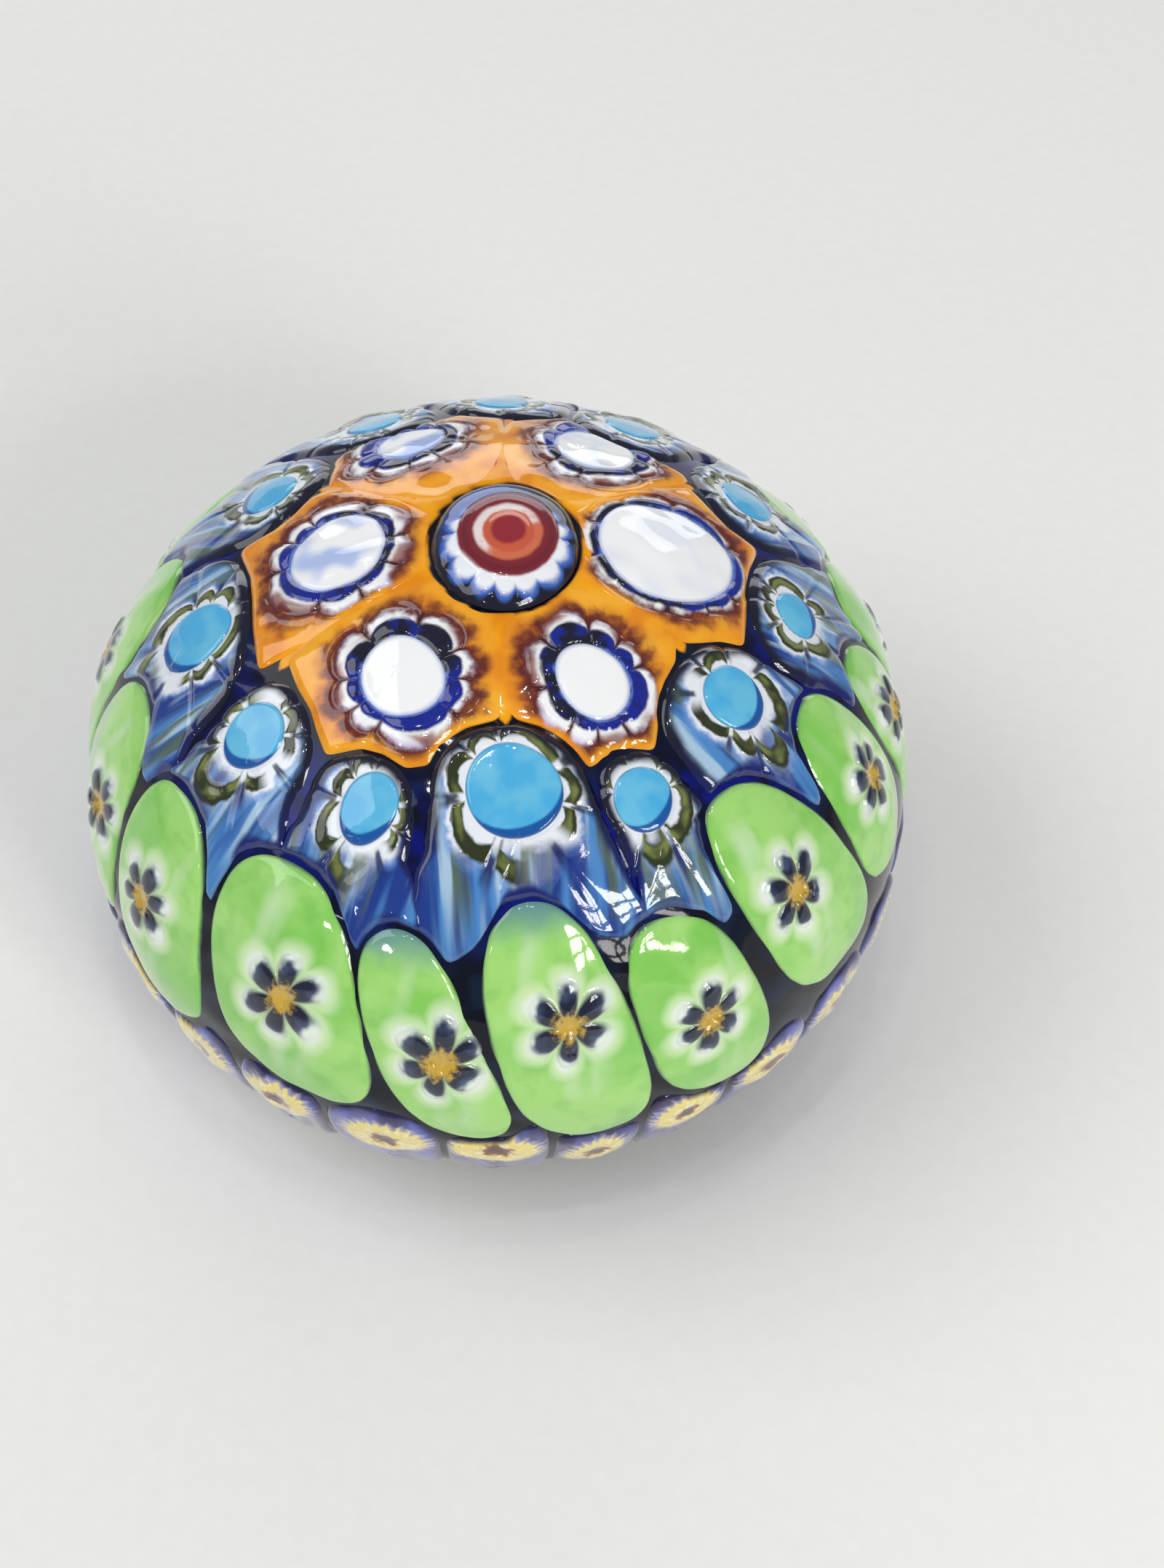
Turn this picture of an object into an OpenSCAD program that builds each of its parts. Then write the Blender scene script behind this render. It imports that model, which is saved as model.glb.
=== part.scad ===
// Millefiori glass paperweight: slices of patterned glass cane set side by side
// in a low, rounded body of dark cobalt glass with a ground flat base.
// Millimetres, +Z up. The origin is the middle of the base face, and the front is -Y.
// "Arc" is the distance along the surface from the crown, "azimuth" turns
// anticlockwise from the front as seen from above, and "tilt" is the lean of a cane's axis.

/* [Body] */
// Largest diameter of the paperweight
body_d = 70; // [66:0.5:76]
// Height of the crown above the widest line
crown_height = 28.6; // [27.5:0.1:29.5]
// Height of the widest line above the base
equator_height = 19.4; // [17:0.1:20.4]
// Radius of the rounded side, seen in section
side_radius = 24.5; // [24:0.1:25.5]
// Height of the plain foot below the last ring of canes
foot_height = 3.6; // [2.5:0.1:4.5]

/* [Canes] */
// Thickness of the cane slices, measured into the glass
cane_depth = 2.5; // [2:0.1:3.5]
// Dark glass between two neighbouring green canes
green_gap = 0.9; // [0.6:0.05:1.2]
// Dark glass between the other canes
small_gap = 0.5; // [0.3:0.05:0.7]
// Half width of the crown cane from side to side
crown_half_w = 5.8; // [5:0.1:6]
// Half length of the crown cane from front to back
crown_half_l = 6.7; // [5.5:0.1:6.9]
// Offset of the crown cane to the right of the middle
crown_x = 0.6; // [0:0.1:0.8]
// Offset of the crown cane to the back of the middle
crown_y = 0.3; // [0:0.1:0.6]

/* [Amber canes] */
// Azimuths of the six amber canes round the crown
amber_azimuths = [-29, 34, 99, 152, 210, 269]; // each +/- 2
// Azimuths of the seams between them, each one after its cane
amber_seams = [4, 66, 129, 181, 237, 299]; // each +/- 2
// Arc distances of their white eyes from the crown
amber_arcs = [13.6, 14, 13.2, 15.4, 16, 12.2]; // each +/- 0.5

/* [Turquoise canes] */
// Azimuths of the twelve turquoise buttons
turquoise_azimuths = [6.5, 32, 62.5, 91.5, 123, 152, 181, 211, 241.7, 280, 309, 338]; // each +/- 1
// Azimuths of the gaps between them, each one after its cane
turquoise_seams = [
    23.5, 42.5, 76.5, 107.5, 138, 167, 196, 225.5, 259, 298.5, 324, 347.5
]; // each +/- 1
// Arc distances of the buttons from the crown
turquoise_arcs = [20.6, 23.6, 21.8, 25.2, 25.3, 23.5, 24.5, 24, 23.1, 25.4, 24, 23.6]; // each +/- 0.5
// Reach of each cane from its button towards the crown
turquoise_reaches = [5, 3.8, 4.8, 4.4, 4.8, 4.4, 4.8, 4.4, 4.6, 5, 4.5, 3.8]; // each +/- 0.4
// Reach of the streaked tails down the slope
turquoise_tail = 14; // [11:0.5:15]
// Lean of the turquoise canes, as turn in azimuth for each millimetre down the slope
turquoise_lean = 0.3; // [0.2:0.05:0.4]

/* [Green canes] */
// Azimuths of the seventeen green canes
green_azimuths = [
    12.5, 31, 50.5, 72.5, 90, 109, 130, 152, 174.5,
    196.5, 219, 241, 264, 290, 308, 334, 355
]; // each +/- 1
// Azimuths of the gaps between them, each one after its cane
green_seams = [
    21.6, 40.5, 62.5, 81.5, 98.5, 119.5, 141, 163, 185.5,
    208, 230, 252, 276, 298, 320, 345.3, 362
]; // each +/- 1
// Arc distances of the middles of the green canes from the crown
green_arcs = [
    40.8, 42, 37, 36.4, 40.5, 41.5, 41, 42, 41,
    42, 41, 42, 39.5, 41.4, 41.5, 40, 41.8
]; // each +/- 0.5
// Half lengths of the green canes down the slope
green_lengths = [
    11.8, 9.7, 10.8, 9.2, 9.4, 9.6, 10, 9.6, 10.2,
    9.5, 10, 9.6, 10, 9.8, 10, 10.2, 10.2
]; // each +/- 0.3
// Lean of the green canes, as turn in azimuth for each millimetre down the slope
green_leans = [
    0.35, 0.35, 0.4, 0, 0.1, 0.3, 0.4, 0.4, 0.4,
    0.4, 0.4, 0.4, 0.3, 0.3, 0.35, 0.45, 0.6
]; // each +/- 0.1

/* [Skirt canes] */
// Azimuths of the small canes round the foot that are set by hand
skirt_azimuths = [3.5, 16.5, 28, 42, 56.5, 69]; // each +/- 1
// Azimuths of the small canes to the left of the front
skirt_left_azimuths = [321, 331, 347.5]; // each +/- 1
// Number of small canes spread evenly round the rest of the foot
skirt_rest = 14; // [12:1:14]
// Arc distance of the small flowers from the crown
skirt_arc = 54.1; // [53.9:0.1:54.3]
// Reach of each small cane from its flower towards the crown
skirt_reach = 4.5; // [4:0.1:5]
// Reach of the streaked skirt towards the base
skirt_tail = 12.5; // [10:0.5:13.5]

/* [Hidden] */
half_d = body_d / 2;
side_x = half_d - side_radius;
crown_radius = (half_d ^ 2 + crown_height ^ 2 - 2 * half_d * side_radius)
    / (2 * (crown_height - side_radius));
crown_centre_z = crown_height - crown_radius;
edge_tilt = asin(side_x / (crown_radius - side_radius));
crown_arc = crown_radius * edge_tilt * PI / 180;
$fn = 144;
// Corners of a cane's outline, and how its reach is searched for
outline_steps = 32;
first_reach = 1;
coarse_step = 0.8;
fine_step = 0.05;
nearby = 45;
// How far the wedge of a cane runs past the two faces of the skin
prism_above = 1.5;
prism_below = 0.4;
crown_prism_below = 1;
// Tilt either side of the edge of the crown over which the slope's radius is averaged
edge_blend = 12;
amber_gap = 0.3;
amber_reaches = [9, 12.5];
amber_sector = 150;
cane_sector = 64;
// Turn from the last small cane set by hand to where the even ones start
skirt_margin = 4;
skirt_offset = 0.75;

// Kinds of cane, which say how its outline is rounded and what it gives way to
AMBER = 1;
TURQUOISE = 2;
GREEN = 3;
SKIRT = 4;

function turned(a) = (a + 540) % 360 - 180;
function lap_before(list, i) = i == 0 ? list[len(list) - 1] : list[i - 1];
function tilt_at(arc) = arc < crown_arc ? arc / crown_radius * 180 / PI
                                        : edge_tilt + (arc - crown_arc) / side_radius * 180 / PI;
function ring_radius(tilt) = tilt < edge_tilt ? crown_radius * sin(tilt) : side_x + side_radius * sin(tilt);
function ring_height(tilt) = equator_height + (tilt < edge_tilt ? crown_centre_z + crown_radius * cos(tilt)
                                                                : side_radius * cos(tilt));
function on_body(arc, azimuth) = let (tilt = tilt_at(arc), r = ring_radius(tilt))
    [r * sin(azimuth), -r * cos(azimuth), ring_height(tilt)];

// A cane is [kind, azimuth, arc, left, right, up, down, lean], with its reaches in
// millimetres and its lean in degrees for each millimetre
function width_of(azimuth, seam, arc, gap) =
    abs(turned(seam - azimuth)) * PI / 180 * ring_radius(tilt_at(arc)) - gap / 2;
function make_cane(kind, azimuths, seams, i, arc, gap, up, down, lean) =
    [kind, azimuths[i], arc,
     width_of(azimuths[i], lap_before(seams, i), arc, gap),
     width_of(azimuths[i], seams[i], arc, gap), up, down, lean];

skirt_end = skirt_left_azimuths[0] - skirt_margin;
skirt_start = skirt_azimuths[len(skirt_azimuths) - 1] + skirt_margin;
skirt_step = (skirt_end - skirt_start) / (skirt_rest + 0.5);
all_skirt_azimuths = concat(
    skirt_azimuths,
    [for (i = [0 : skirt_rest - 1]) skirt_start + skirt_step * (i + skirt_offset)],
    skirt_left_azimuths);
skirt_seams = [for (i = [0 : len(all_skirt_azimuths) - 1])
    let (next = (i + 1) % len(all_skirt_azimuths))
    all_skirt_azimuths[i] + turned(all_skirt_azimuths[next] - all_skirt_azimuths[i]) / 2];

amber_canes = [for (i = [0 : len(amber_azimuths) - 1])
    make_cane(AMBER, amber_azimuths, amber_seams, i, amber_arcs[i], amber_gap,
              amber_reaches[0], amber_reaches[1], 0)];
turquoise_canes = [for (i = [0 : len(turquoise_azimuths) - 1])
    make_cane(TURQUOISE, turquoise_azimuths, turquoise_seams, i, turquoise_arcs[i],
              small_gap, turquoise_reaches[i], turquoise_tail, turquoise_lean)];
green_canes = [for (i = [0 : len(green_azimuths) - 1])
    make_cane(GREEN, green_azimuths, green_seams, i, green_arcs[i],
              green_gap, green_lengths[i], green_lengths[i], green_leans[i])];
skirt_canes = [for (i = [0 : len(all_skirt_azimuths) - 1])
    make_cane(SKIRT, all_skirt_azimuths, skirt_seams, i, skirt_arc, small_gap,
              skirt_reach, skirt_tail, 0)];

// Roundness of an outline towards the crown and towards the base: 2 is an ellipse
function power_up(kind) = kind == TURQUOISE ? 2.2 : kind == GREEN ? 2.8 : 3;
function power_down(kind) = kind == TURQUOISE ? 5 : kind == GREEN ? 2.9 : 4;

function blockers(kind) = kind == AMBER ? turquoise_canes : kind == GREEN ? [] : green_canes;

// How far a point lies inside (below 1) or outside (above 1) a cane grown by a margin
function inside(cane, arc, azimuth, grow) =
    let (y = arc - cane[2],
         x = turned(azimuth - cane[1] - cane[7] * y) * PI / 180 * ring_radius(tilt_at(cane[2])),
         w = (x < 0 ? cane[3] : cane[4]) + grow,
         h = (y < 0 ? cane[5] : cane[6]) + grow,
         power = y < 0 ? power_up(cane[0]) : power_down(cane[0]))
    (abs(x) / w) ^ power + (abs(y) / h) ^ power;
function in_crown(arc, azimuth, grow) =
    ((arc * sin(azimuth) - crown_x) / (crown_half_w + grow)) ^ 2
    + ((arc * cos(azimuth) + crown_y) / (crown_half_l + grow)) ^ 2 < 1;
function blocked(cane, at) =
    cane[0] == AMBER && in_crown(at[0], at[1], small_gap)
    || len([for (other = blockers(cane[0]))
            if (abs(turned(other[1] - at[1])) < nearby && inside(other, at[0], at[1], small_gap) < 1) 1]) > 0;

// A point of the surface, as [arc, azimuth], at a distance from the cane's middle
function beside(cane, angle, distance) =
    let (x = distance * sin(angle), y = -distance * cos(angle))
    [cane[2] + y, cane[1] + cane[7] * y + x / ring_radius(tilt_at(cane[2])) * 180 / PI];
function own_reach(cane, angle) =
    let (up = cos(angle) > 0,
         power = up ? power_up(cane[0]) : power_down(cane[0]),
         w = sin(angle) < 0 ? cane[3] : cane[4],
         h = up ? cane[5] : cane[6])
    1 / ((abs(sin(angle)) / w) ^ power + (abs(cos(angle)) / h) ^ power) ^ (1 / power);
function free_reach(cane, angle, distance, step, limit) =
    distance + step > limit ? limit
    : !blocked(cane, beside(cane, angle, distance + step))
        ? free_reach(cane, angle, distance + step, step, limit)
    : step < fine_step ? distance : free_reach(cane, angle, distance, step / 4, limit);
function outline(cane) = [for (i = [0 : outline_steps - 1])
    let (angle = 360 * i / outline_steps)
    beside(cane, angle, free_reach(cane, angle, first_reach, coarse_step, own_reach(cane, angle)))];

// Body of revolution, a given depth below the outer surface
module body_section(depth) {
    side_r = side_radius - depth;
    crown_r = crown_radius - depth;
    difference() {
        union() {
            translate([side_x, equator_height]) circle(r = side_r);
            intersection() {
                translate([0, equator_height + crown_centre_z]) circle(r = crown_r);
                polygon([[0, equator_height + crown_centre_z],
                         [2 * crown_r * sin(edge_tilt),
                          equator_height + crown_centre_z + 2 * crown_r * cos(edge_tilt)],
                         [0, equator_height + 2 * crown_r]]);
            }
            polygon([[0, depth], [side_x, depth], [side_x, equator_height], [0, equator_height + 1]]);
        }
        translate([-body_d, -body_d]) square([body_d, 3 * body_d]);
        translate([-1, depth - body_d]) square([2 * body_d, body_d]);
    }
}

module body_shape(depth) rotate_extrude() body_section(depth);

// Normal radius of the surface along the slope at a cane
function slope_radius(tilt) = tilt < edge_tilt - edge_blend ? crown_radius
                            : tilt > edge_tilt + edge_blend ? side_radius
                            : (crown_radius + side_radius) / 2;

// The wedge of glass that a cane takes up, narrowing inwards like the stones of a dome
module cane_wedge(cane) {
    tilt = tilt_at(cane[2]);
    azimuth = cane[1];
    middle = on_body(cane[2], azimuth);
    across = [cos(azimuth), sin(azimuth), 0];
    upslope = [-cos(tilt) * sin(azimuth), cos(tilt) * cos(azimuth), sin(tilt)];
    normal = [sin(tilt) * sin(azimuth), -sin(tilt) * cos(azimuth), cos(tilt)];
    bend = [ring_radius(tilt) / sin(tilt), slope_radius(tilt)];
    offsets = [for (at = outline(cane)) on_body(at[0], at[1]) - middle];
    depth = cane_depth + prism_below - min([for (p = offsets) p * normal]);
    inner = [1 - depth / bend[0], 1 - depth / bend[1]];
    outer = [1 + prism_above / bend[0], 1 + prism_above / bend[1]];
    points = [for (p = offsets)
        [p * across * inner[0] / (1 + p * normal / bend[0]),
         p * upslope * inner[1] / (1 + p * normal / bend[1])]];
    translate(middle) rotate([0, 0, azimuth]) rotate([tilt, 0, 0])
        translate([0, 0, -depth])
        linear_extrude(height = depth + prism_above, slices = 1, segments = 1,
                       scale = [outer[0] / inner[0], outer[1] / inner[1]])
        polygon(points);
}

module crown_wedge() {
    top = equator_height + crown_height;
    depth = cane_depth + crown_prism_below;
    inner = 1 - cane_depth / crown_radius;
    translate([crown_x, crown_y, top - depth])
        linear_extrude(height = depth + prism_above, slices = 1, segments = 1, scale = 1 / inner)
        polygon([for (i = [0 : outline_steps - 1])
            let (angle = 360 * i / outline_steps)
            [crown_half_w * inner * sin(angle), crown_half_l * inner * cos(angle)]]);
}

// The skin of glass that the slices are cut from, over a sector centred on an azimuth
module skin(azimuth, sector) {
    rotate([0, 0, azimuth - 90 - sector / 2])
        rotate_extrude(angle = sector)
        difference() {
            body_section(0);
            body_section(cane_depth);
        }
}

module cane(cane) {
    intersection() {
        cane_wedge(cane);
        skin(cane[1], cane[0] == AMBER ? amber_sector : cane_sector);
    }
}

// The dark body: the bed that the slices lie on, and the foot below the last ring
module glass_body() {
    color("midnightblue") union() {
        body_shape(cane_depth);
        intersection() {
            body_shape(0);
            cylinder(h = foot_height, r = body_d);
        }
    }
}

module crown_cane() {
    color("firebrick") intersection() {
        crown_wedge();
        skin(0, 360);
    }
}
module amber_cane(i) color("darkorange") cane(amber_canes[i]);
module turquoise_cane(i) color("deepskyblue") cane(turquoise_canes[i]);
module green_cane(i) color("lightgreen") cane(green_canes[i]);
module skirt_cane(i) color("slateblue") cane(skirt_canes[i]);

function numbered(name, list) = [for (i = [1 : len(list)]) str(name, i < 10 ? "_0" : "_", i)];
amber_names = numbered("amber_cane", amber_canes);
turquoise_names = numbered("turquoise_cane", turquoise_canes);
green_names = numbered("green_cane", green_canes);
skirt_names = numbered("skirt_cane", skirt_canes);

glass_body();
crown_cane();
for (i = [0 : len(amber_names) - 1])
    amber_cane(i);
for (i = [0 : len(turquoise_names) - 1])
    turquoise_cane(i);
for (i = [0 : len(green_names) - 1])
    green_cane(i);
for (i = [0 : len(skirt_names) - 1])
    skirt_cane(i);
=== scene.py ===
import math

import bpy
import numpy as np
from mathutils import Matrix, Vector


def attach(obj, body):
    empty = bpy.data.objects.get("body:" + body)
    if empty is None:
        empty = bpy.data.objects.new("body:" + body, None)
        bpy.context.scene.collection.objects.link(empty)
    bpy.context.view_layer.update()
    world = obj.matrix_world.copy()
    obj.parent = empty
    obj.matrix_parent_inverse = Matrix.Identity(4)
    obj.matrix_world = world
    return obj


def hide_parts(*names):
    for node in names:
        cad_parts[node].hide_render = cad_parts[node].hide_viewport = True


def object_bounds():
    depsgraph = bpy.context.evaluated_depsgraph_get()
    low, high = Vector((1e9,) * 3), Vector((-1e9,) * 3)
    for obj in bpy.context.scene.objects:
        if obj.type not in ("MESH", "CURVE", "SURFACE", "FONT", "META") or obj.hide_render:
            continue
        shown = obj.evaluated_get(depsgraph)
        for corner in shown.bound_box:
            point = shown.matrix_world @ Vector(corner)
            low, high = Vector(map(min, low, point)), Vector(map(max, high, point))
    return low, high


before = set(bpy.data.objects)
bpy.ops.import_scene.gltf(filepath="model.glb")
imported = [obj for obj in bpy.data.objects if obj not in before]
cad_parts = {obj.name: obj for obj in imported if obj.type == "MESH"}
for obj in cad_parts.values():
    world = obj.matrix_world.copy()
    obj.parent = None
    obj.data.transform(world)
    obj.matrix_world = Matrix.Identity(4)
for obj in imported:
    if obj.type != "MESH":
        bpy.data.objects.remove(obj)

cad_low, cad_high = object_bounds()

# ---- The rounded body, in millimetres ----
# A flat crown arc that runs into a rounder side arc. Arc is the distance along the surface from the
# crown, azimuth turns anticlockwise from the front (-Y), and tilt is the lean of the surface's normal,
# both in radians.
MM = 0.001
TURN = 2 * math.pi
HEIGHT = (cad_high.z - cad_low.z) / MM
HALF_D = (cad_high.x - cad_low.x) / 2 / MM
CROWN_HEIGHT = 28.6
SIDE_R = 24.5
EQUATOR = HEIGHT - CROWN_HEIGHT
SIDE_X = HALF_D - SIDE_R
CROWN_R = (HALF_D**2 + CROWN_HEIGHT**2 - 2 * HALF_D * SIDE_R) / (2 * (CROWN_HEIGHT - SIDE_R))
CROWN_Z = CROWN_HEIGHT - CROWN_R
EDGE_TILT = math.asin(SIDE_X / (CROWN_R - SIDE_R))
CROWN_ARC = CROWN_R * EDGE_TILT
BASE_R = SIDE_X + math.sqrt(SIDE_R**2 - EQUATOR**2)


def tilt_at(arc):
    return np.where(arc < CROWN_ARC, arc / CROWN_R, EDGE_TILT + (arc - CROWN_ARC) / SIDE_R)


def arc_at(tilt):
    return np.where(tilt < EDGE_TILT, tilt * CROWN_R, CROWN_ARC + (tilt - EDGE_TILT) * SIDE_R)


def on_body(arc, azimuth):
    """Points of the body's surface and their outward normals."""
    tilt = tilt_at(arc)
    crown = tilt < EDGE_TILT
    r = np.where(crown, CROWN_R * np.sin(tilt), SIDE_X + SIDE_R * np.sin(tilt))
    z = EQUATOR + np.where(crown, CROWN_Z + CROWN_R * np.cos(tilt), SIDE_R * np.cos(tilt))
    point = np.stack([r * np.sin(azimuth), -r * np.cos(azimuth), z], -1)
    flat = np.sin(tilt)
    normal = np.stack([flat * np.sin(azimuth), -flat * np.cos(azimuth), np.cos(tilt)], -1)
    return point, normal


def unwrap(point):
    """Arc, azimuth and depth under the surface of points near it."""
    r = np.hypot(point[..., 0], point[..., 1])
    z = point[..., 2] - EQUATOR
    crown_tilt = np.arctan2(r, z - CROWN_Z)
    side_tilt = np.arctan2(r - SIDE_X, z)
    crown = crown_tilt < EDGE_TILT
    arc = arc_at(np.where(crown, crown_tilt, side_tilt))
    azimuth = np.arctan2(point[..., 0], -point[..., 1])
    depth = np.where(crown, CROWN_R - np.hypot(r, z - CROWN_Z), SIDE_R - np.hypot(r - SIDE_X, z))
    return arc, azimuth, depth


class Patch:
    """Flat coordinates, in millimetres, on the plane that touches the body at one point: x to the
    right, y towards the crown."""

    def __init__(self, arc, azimuth):
        self.origin, self.normal = on_body(np.array(arc), np.array(azimuth))
        self.across = np.array([math.cos(azimuth), math.sin(azimuth), 0.0])
        self.upslope = np.cross(self.normal, self.across)

    def flatten(self, points):
        """Flat coordinates of points of the surface."""
        arc, azimuth, _ = unwrap(points)
        normals = on_body(arc, azimuth)[1]
        reach = -((points - self.origin) @ self.normal) / (normals @ self.normal)
        offset = points + normals * reach[..., None] - self.origin
        return offset @ self.across, offset @ self.upslope

    def raise_up(self, x, y, height):
        """Points at a height above the body over flat coordinates."""
        plane = self.origin + x[..., None] * self.across + y[..., None] * self.upslope
        arc, azimuth, _ = unwrap(plane)
        point, normal = on_body(arc, azimuth)
        return point + normal * height[..., None]


# ---- Arithmetic ----
# It works alike on arrays, for the relief of the glass, and on shader nodes, for its colours, so that
# a pattern is written only once.
class Field:
    """A number that shader nodes work out."""

    def __init__(self, tree, socket):
        self.tree, self.socket = tree, socket

    def __add__(self, other):
        return calculate("ADD", np.add, self, other)

    def __sub__(self, other):
        return calculate("SUBTRACT", np.subtract, self, other)

    def __rsub__(self, other):
        return calculate("SUBTRACT", np.subtract, other, self)

    def __mul__(self, other):
        return calculate("MULTIPLY", np.multiply, self, other)

    def __truediv__(self, other):
        return calculate("DIVIDE", np.divide, self, other)

    def __neg__(self):
        return self * -1.0

    __radd__ = __add__
    __rmul__ = __mul__


def connect(tree, value, socket):
    """Feeds a socket with a Field or a plain number."""
    if isinstance(value, Field):
        tree.links.new(value.socket, socket)
    else:
        socket.default_value = value


def calculate(operation, numpy_function, *values):
    """Uses the numpy function on arrays and numbers, and a Math node where there are Fields."""
    tree = next((v.tree for v in values if isinstance(v, Field)), None)
    if tree is None:
        return numpy_function(*values)
    node = tree.nodes.new("ShaderNodeMath")
    node.operation = operation
    for value, socket in zip(values, node.inputs):
        connect(tree, value, socket)
    return Field(tree, node.outputs[0])


def root(x):
    return calculate("SQRT", np.sqrt, x)


def cosine(x):
    return calculate("COSINE", np.cos, x)


def sine(x):
    return calculate("SINE", np.sin, x)


def arc_cosine(x):
    return calculate("ARCCOSINE", np.arccos, x)


def angle(x, y):
    """Angle from the direction away from the crown, anticlockwise."""
    return calculate("ARCTAN2", np.arctan2, x, -y)


def higher(a, b):
    return calculate("MAXIMUM", np.maximum, a, b)


def absolute(x):
    return calculate("ABSOLUTE", np.abs, x)


def power(x, exponent):
    return calculate("POWER", np.power, x, exponent)


def length(x, y):
    return root(x * x + y * y)


def smooth(x, start, end):
    """Goes smoothly from 0 where x is start to 1 where x is end."""
    if not isinstance(x, Field):
        t = np.clip((x - start) / (end - start), 0, 1)
        return t * t * (3 - 2 * t)
    node = x.tree.nodes.new("ShaderNodeMapRange")
    node.interpolation_type = "SMOOTHSTEP"
    connect(x.tree, x, node.inputs["Value"])
    connect(x.tree, start, node.inputs["From Min"])
    connect(x.tree, end, node.inputs["From Max"])
    return Field(x.tree, node.outputs["Result"])


# ---- Patterns, in millimetres ----
# d is the distance outside the rim of a cane's eye, turn is the angle round it, and seed makes one
# cane's pattern unlike another's.
AMBER_PETALS = 8.0
OLIVE_ARCS = 7.0
FLOWER_PETALS = 6.0
SKIRT_RAYS = 24.0
CROWN_FOLDS = 15.0


def lobes(turn, count):
    """1 in the middle of each lobe round a circle, 0 at the cusps between them."""
    return absolute(cosine(turn * (count / 2)))


def uneven(turn, seed):
    """An angle and a size that vary a little round a circle, as hand-laid lobes do."""
    warped = turn + 0.2 * sine(turn * 2.0 + seed * 3.1) + 0.1 * sine(turn * 3.0 + seed * 5.3)
    return warped, 1.0 + 0.22 * sine(turn + seed * 2.0) + 0.16 * sine(turn * 3.0 + seed * 7.0)


def ring_edges(turn, ring, petal, seed):
    """Outer edges of the scalloped ring and of the petals round an amber cane's eye, and its lobes."""
    warped, share = uneven(turn, seed)
    bump = lobes(warped, AMBER_PETALS)
    ring_edge = ring * (0.6 + 0.4 * power(bump, 0.6)) * share
    petal_edge = ring_edge + petal * (0.45 + 0.55 * power(bump, 0.5)) * (1.5 - 0.5 * share)
    return ring_edge, petal_edge, bump


def petal_shape(x, y, middle, half_length, half_width, phase):
    """Below 1 inside the nearest of a ring of drop-shaped petals, with its distance out along the petal."""
    reach = length(x, y)
    warped = angle(x, y) * FLOWER_PETALS + 0.5 * sine(angle(x, y) * 2.0 + phase * 3.0) + phase
    fold = arc_cosine(cosine(warped) * 0.9999) / FLOWER_PETALS
    along = (reach * cosine(fold) - middle) / half_length
    side = reach * sine(fold) / (half_width * (1.0 + 0.3 * along))
    return along * along + side * side, along


def olive_arcs(d, turn, seed):
    """How much a point lies in the broken wavy band round a turquoise button, the distance from the
    band's middle, and the lobes."""
    warped, share = uneven(turn, seed)
    bump = lobes(warped, OLIVE_ARCS)
    band = d - (0.28 + 0.78 * power(bump, 0.8)) * share
    gap = smooth(cosine(warped * 1.5 + seed * 1.7), -0.95, -0.7)
    return smooth(absolute(band), 0.6, 0.38) * smooth(bump, 0.1, 0.3) * gap, band, bump


def crown_ruffle(x, y):
    """Distance outside the ruffled edge of the crown cane's white ring, and the folds of the ruffle."""
    turn = angle(x, y)
    folds = lobes(turn + 0.08 * sine(turn * 3.0), CROWN_FOLDS)
    lip = 4.15 + 0.5 * smooth(y, -0.5, -3.0) - 1.2 * smooth(y, -0.5, 3.6)
    return length(x, y) - lip - 0.75 * power(folds, 0.8), folds


# ---- Meshes ----
def make_object(name, points, faces, attributes, material, replaced):
    """A smooth mesh with vectors at its vertices that the material reads, in place of a CAD node."""
    mesh = bpy.data.meshes.new(name)
    mesh.from_pydata((points * MM).tolist(), [], faces)
    for label, values in attributes.items():
        layer = mesh.attributes.new(label, "FLOAT_VECTOR", "POINT")
        layer.data.foreach_set("vector", np.ascontiguousarray(values, dtype=np.float32).ravel())
    mesh.polygons.foreach_set("use_smooth", [True] * len(mesh.polygons))
    mesh.materials.append(material)
    mesh.update()
    thing = bpy.data.objects.new(name, mesh)
    bpy.context.scene.collection.objects.link(thing)
    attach(thing, "root")
    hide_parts(replaced)


def disc_faces(rings, columns):
    """Faces of a disc whose vertex 0 is its middle, with rings of vertices after it from the inside out."""
    faces = []
    for j in range(columns):
        k = (j + 1) % columns
        faces.append((0, 1 + k, 1 + j))
        for i in range(rings - 1):
            a = 1 + i * columns
            b = a + columns
            faces.append((a + j, a + k, b + k, b + j))
    return faces


def at_vertices(grid):
    """Values on a grid of rings as values at a disc's vertices: the first ring is one point, the middle."""
    flat = grid.reshape(-1, *grid.shape[2:])
    return np.concatenate([flat[:1], flat[grid.shape[1]:]])


def names(family):
    """CAD nodes of a family, in order."""
    return sorted(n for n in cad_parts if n.startswith(family))


def ripples(x, y, rng, count, wavelength):
    """Gentle seeded unevenness, about -1 to 1."""
    total = np.zeros_like(x)
    for _ in range(count):
        heading, start = rng.uniform(0, TURN, 2)
        k = TURN / (wavelength * rng.uniform(0.7, 1.5))
        total += np.sin(k * (x * math.cos(heading) + y * math.sin(heading)) + start)
    return total / math.sqrt(count)


# ---- Outlines of the canes, read from the CAD solids ----
CROWN_CANE = "crown_cane"
ON_SURFACE = 0.04
STEPS_ROUND = 216
SIDE_STEPS = 12
MIDDLE_ROUNDING = 0.01
TAIL_ROUNDING = 0.03
FLOW_STEP = 0.1
NEARBY = 32
# Distances from the rim of the last rings of a cane's grid
EDGE_RINGS = np.array([0.9, 0.75, 0.6, 0.45, 0.32, 0.2, 0.1, 0.03, 0.02, 0.0])


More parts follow.
